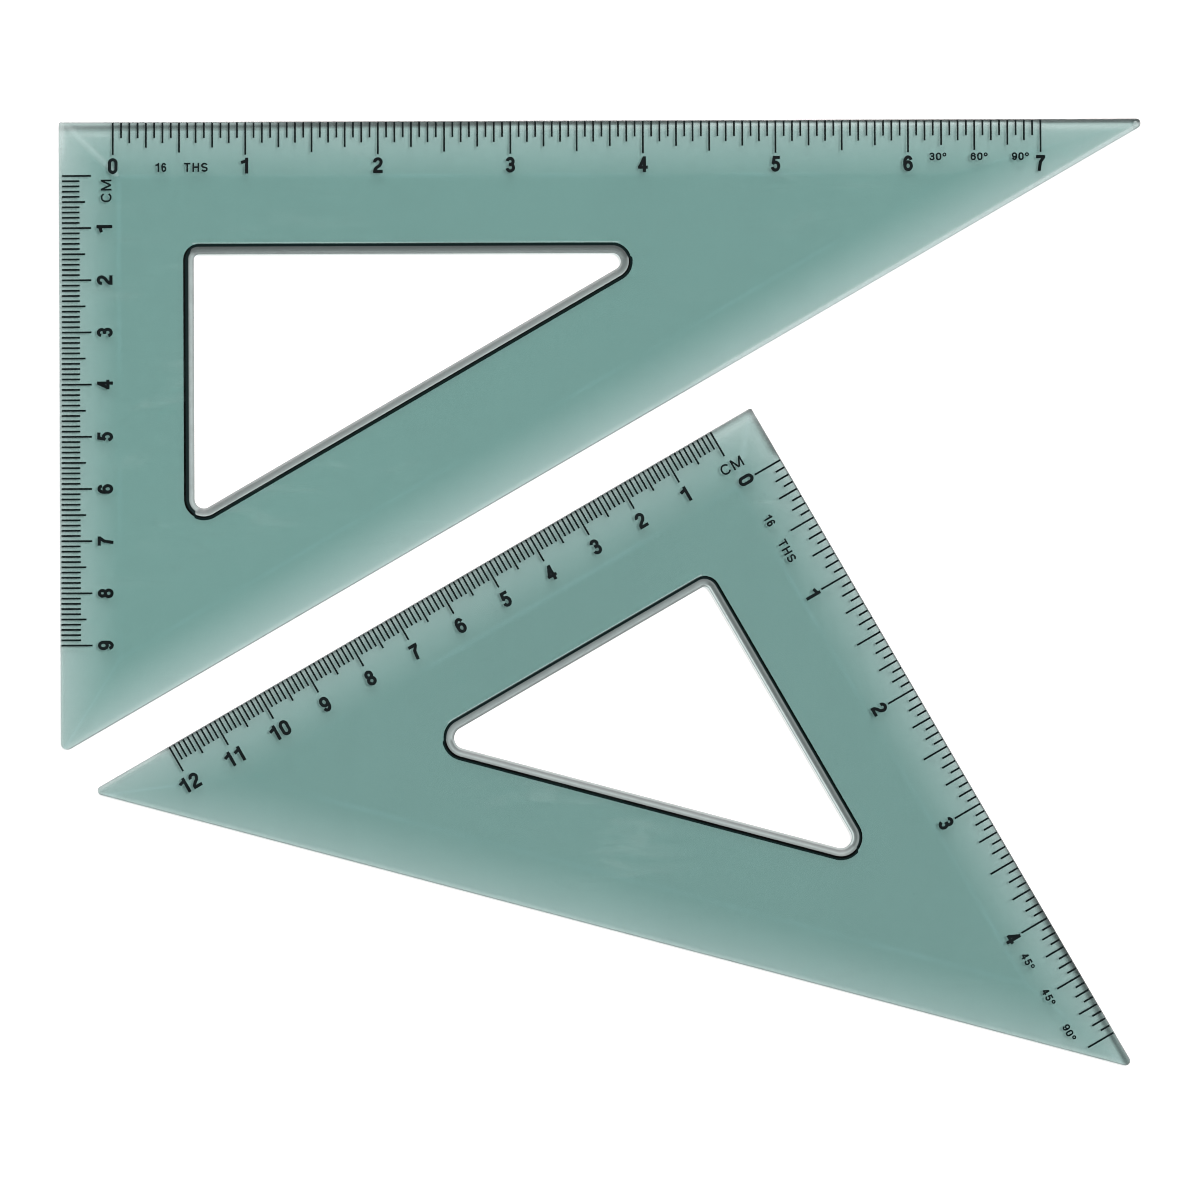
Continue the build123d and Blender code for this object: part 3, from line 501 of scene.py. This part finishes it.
    # seen from low down, a bevel is painted with the tinted light that runs along inside (a painted
    # glow)
    path = g.add("ShaderNodeLightPath")
    facing = g.add("ShaderNodeVectorMath", operation="DOT_PRODUCT",
                   in_0=geometry.outputs["Incoming"],
                   in_1=geometry.outputs["True Normal"]).outputs["Value"]
    low = g.math("MULTIPLY", strip(g, upright, 0.9955, 0.9992, 0.0003),
                 g.remap(g.math("ABSOLUTE", facing), 0.34, 0.62, 0.80, 0.0))
    low = g.math("MULTIPLY", low, path.outputs["Is Camera Ray"])
    painted_inner_glow = g.add("ShaderNodeBsdfPrincipled", in_Roughness=rough, in_IOR=1.49, in_Normal=bump)
    depth = g.remap(g.noise(g.turned(moved, 20.0, (1.0, 0.5, 1.0)), 60.0, 3.0), 0.3, 0.7)
    g.put(painted_inner_glow.inputs["Base Color"],
          g.mix(depth, (0.062, 0.158, 0.145, 1), (0.084, 0.196, 0.180, 1)))
    surface = g.add("ShaderNodeMixShader", in_0=low, in_1=surface, in_2=painted_inner_glow)

    # light that reaches the table through the plate passes the faces, but is
    # lost at the rim step and partly at the side walls, which bend it sideways
    lost = g.math("MAXIMUM", strip(g, upright, 0.50, 0.74, 0.02),
                  g.remap(upright, 0.30, 0.40, 0.35, 0.0))
    lost = g.math("MAXIMUM", lost, g.math("MULTIPLY", lip, 0.26))
    through = g.mix(lost, (0.955, 0.955, 0.955, 1), (0.03, 0.03, 0.03, 1))
    clear = g.add("ShaderNodeBsdfTransparent", in_Color=through)
    indirect = g.math("MAXIMUM", path.outputs["Is Shadow Ray"], path.outputs["Is Diffuse Ray"])
    both = g.add("ShaderNodeMixShader", in_0=indirect, in_1=surface, in_2=clear)

    volume = g.add("ShaderNodeVolumeAbsorption", in_Color=shade[0], in_Density=shade[1])
    out = g.add("ShaderNodeOutputMaterial", in_Surface=both)
    g.put(out.inputs["Volume"], volume)
    return mat


def scale_ink(name, seed):
    mat = bpy.data.materials.new(name)
    mat.use_nodes = True
    g = Graph(mat.node_tree)
    coords = g.add("ShaderNodeTexCoord").outputs["Object"]
    moved = g.add("ShaderNodeVectorMath", operation="ADD", in_0=coords,
                  in_1=(seed, seed, 0.0)).outputs[0]
    cloud = g.noise(moved, 260.0, 3.0)
    grain = g.noise(moved, 5200.0, 2.0, 0.6)
    tone = g.mix(g.remap(cloud, 0.3, 0.7), rgb(5, 11, 12), rgb(12, 21, 22))
    tone = g.mix(g.remap(grain, 0.64, 0.76, 0.0, 0.25), tone, rgb(40, 55, 55))
    bump = g.add("ShaderNodeBump", in_Strength=0.5, in_Distance=6e-6, in_Height=grain)
    rough = g.remap(cloud, 0.3, 0.7, 0.50, 0.66)
    body = g.add("ShaderNodeBsdfPrincipled", in_Roughness=rough, in_Normal=bump, in_IOR=1.42)
    body.inputs["Specular IOR Level"].default_value = 0.12
    g.put(body.inputs["Base Color"], tone)
    # the thin print throws only a faint shadow through the plate
    clear = g.add("ShaderNodeBsdfTransparent", in_Color=(0.60, 0.60, 0.60, 1))
    path = g.add("ShaderNodeLightPath")
    indirect = g.math("MAXIMUM", path.outputs["Is Shadow Ray"], path.outputs["Is Diffuse Ray"])
    both = g.add("ShaderNodeMixShader", in_0=indirect, in_1=body, in_2=clear)
    g.add("ShaderNodeOutputMaterial", in_Surface=both)
    return mat


# absorption coefficients per metre are (1 - colour) * density
tint_60 = ((0.045, 0.467, 0.413, 1.0), 450.0)
tint_45 = ((0.045, 0.443, 0.393, 1.0), 450.0)
plate_mats = {}
for node, seed, shade in (("plate_30_60", 0.0, tint_60), ("plate_45", 3.7, tint_45)):
    plate_mats[node] = tinted_plastic(node.replace("plate", "smoky_green_plastic"), seed, shade,
                                      BEVELS[node], PAINTED_EDGE_LIGHT[node], WINDOWS[node],
                                      LIP_PAINTED_SHADE[node], DARK_LINE[node], PAINTED_HIGHLIGHT_LINE[node],
                                      MITRE_HIGHLIGHT[node], TIPS[node])
ink_mats = {"30_60": scale_ink("printed_ink_30_60", 0.0),
            "45": scale_ink("printed_ink_45", 2.3)}

for node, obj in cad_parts.items():
    if node in plate_mats:
        mat = plate_mats[node]
    else:
        mat = ink_mats["30_60" if node.endswith("30_60") else "45"]
    if not obj.material_slots:
        obj.data.materials.append(mat)
    for s in obj.material_slots:
        s.material = mat


# ------------------------------------------------------------ floor and light
def white_floor():
    mat = bpy.data.materials.new("white_table")
    mat.use_nodes = True
    g = Graph(mat.node_tree)
    coords = g.add("ShaderNodeTexCoord").outputs["Object"]
    grain = g.noise(coords, 900.0, 2.0)
    tone = g.mix(g.remap(grain, 0.3, 0.7), (0.855, 0.86, 0.86, 1), (0.875, 0.875, 0.875, 1))
    body = g.add("ShaderNodeBsdfDiffuse")
    g.put(body.inputs["Color"], tone)
    g.add("ShaderNodeOutputMaterial", in_Surface=body)
    mesh = bpy.data.meshes.new("table_top")
    s, z = 6.0, -0.00006
    mesh.from_pydata([(-s, -s, z), (s, -s, z), (s, s, z), (-s, s, z)], [], [(0, 1, 2, 3)])
    mesh.materials.append(mat)
    obj = bpy.data.objects.new("table_top", mesh)
    bpy.context.scene.collection.objects.link(obj)
    return obj


white_floor()

azimuth = math.radians(KEY_AZIMUTH)
tilt = math.radians(KEY_FROM_ZENITH)
to_key = Vector((math.cos(azimuth) * math.sin(tilt), math.sin(azimuth) * math.sin(tilt),
                 math.cos(tilt)))
sun = bpy.data.lights.new("key", "SUN")
sun.energy = KEY_POWER
sun.angle = math.radians(9.0)
sun.color = (1.08, 1.0, 1.0)
key = bpy.data.objects.new("key", sun)
key.rotation_mode = "QUATERNION"
key.rotation_quaternion = to_key.to_track_quat("Z", "Y")
key.visible_glossy = False
key.visible_transmission = False
bpy.context.scene.collection.objects.link(key)

world = bpy.data.worlds.new("soft_studio")
bpy.context.scene.world = world
world.use_nodes = True
g = Graph(world.node_tree)
direction = g.add("ShaderNodeTexCoord").outputs["Generated"]
height = g.add("ShaderNodeSeparateXYZ", in_0=direction).outputs[2]
ramp = g.add("ShaderNodeValToRGB", in_0=height)
ramp.color_ramp.interpolation = "EASE"
stops = ((0.00, 1.06), (0.18, 0.98), (0.55, 0.78), (0.90, 0.62), (0.975, 0.14), (1.0, 0.10))
while len(ramp.color_ramp.elements) < len(stops):
    ramp.color_ramp.elements.new(0.5)
for element, (at, level) in zip(ramp.color_ramp.elements, stops):
    element.position = at
    element.color = (level / 1.1 * 0.992, level / 1.1 * 0.998, level / 1.1, 1)
box_az, box_el = math.radians(BOX_AZIMUTH), math.radians(BOX_HEIGHT)
box_dir = (math.cos(box_az) * math.cos(box_el), math.sin(box_az) * math.cos(box_el),
           math.sin(box_el))
soft = g.add("ShaderNodeVectorMath", operation="DOT_PRODUCT", in_0=direction,
             in_1=box_dir).outputs["Value"]
soft = g.math("MULTIPLY", g.math("POWER", g.math("MAXIMUM", soft, 0.0), 14.0), BOX_POWER)
level = g.add("ShaderNodeVectorMath", operation="SCALE", in_0=ramp.outputs[0])
level.inputs["Scale"].default_value = 1.1 * FILL
total = g.add("ShaderNodeVectorMath", operation="ADD", in_0=level, in_1=soft)
warm = g.add("ShaderNodeVectorMath", operation="MULTIPLY", in_0=total, in_1=(1.08, 1.0, 1.0))
lights = g.add("ShaderNodeBackground", in_Color=warm.outputs[0], in_Strength=1.0)
backdrop = g.add("ShaderNodeBackground", in_Color=(1, 1, 1, 1), in_Strength=1.0)
seen = g.add("ShaderNodeLightPath").outputs["Is Camera Ray"]
both = g.add("ShaderNodeMixShader", in_0=seen, in_1=lights, in_2=backdrop)
g.add("ShaderNodeOutputWorld", in_Surface=both)

# ------------------------------------------------------------------- camera
cam = bpy.data.cameras.new("camera")
cam.sensor_width = 36.0
distance = 1.5
field = 0.2302124             # width of the picture on the table, metres
cam.lens = 36.0 * distance / field
cam.clip_start, cam.clip_end = 0.05, 50.0
camera = bpy.data.objects.new("camera", cam)
roll = math.radians(-0.20)
camera.matrix_world = (Matrix.Translation((-0.000247, -0.001197, distance)) @
                       Matrix.Rotation(roll, 4, "Z"))
bpy.context.scene.collection.objects.link(camera)
bpy.context.scene.camera = camera

scene = bpy.context.scene
scene.view_settings.view_transform = "Standard"
scene.view_settings.look = "None"
scene.view_settings.exposure = 0.0
scene.view_settings.gamma = 1.0
scene.cycles.max_bounces = 24
scene.cycles.transmission_bounces = 24
scene.cycles.transparent_max_bounces = 24
scene.cycles.glossy_bounces = 10
scene.cycles.diffuse_bounces = 4
scene.cycles.blur_glossy = 0.3
scene.cycles.use_denoising = True
scene.cycles.filter_width = 1.0
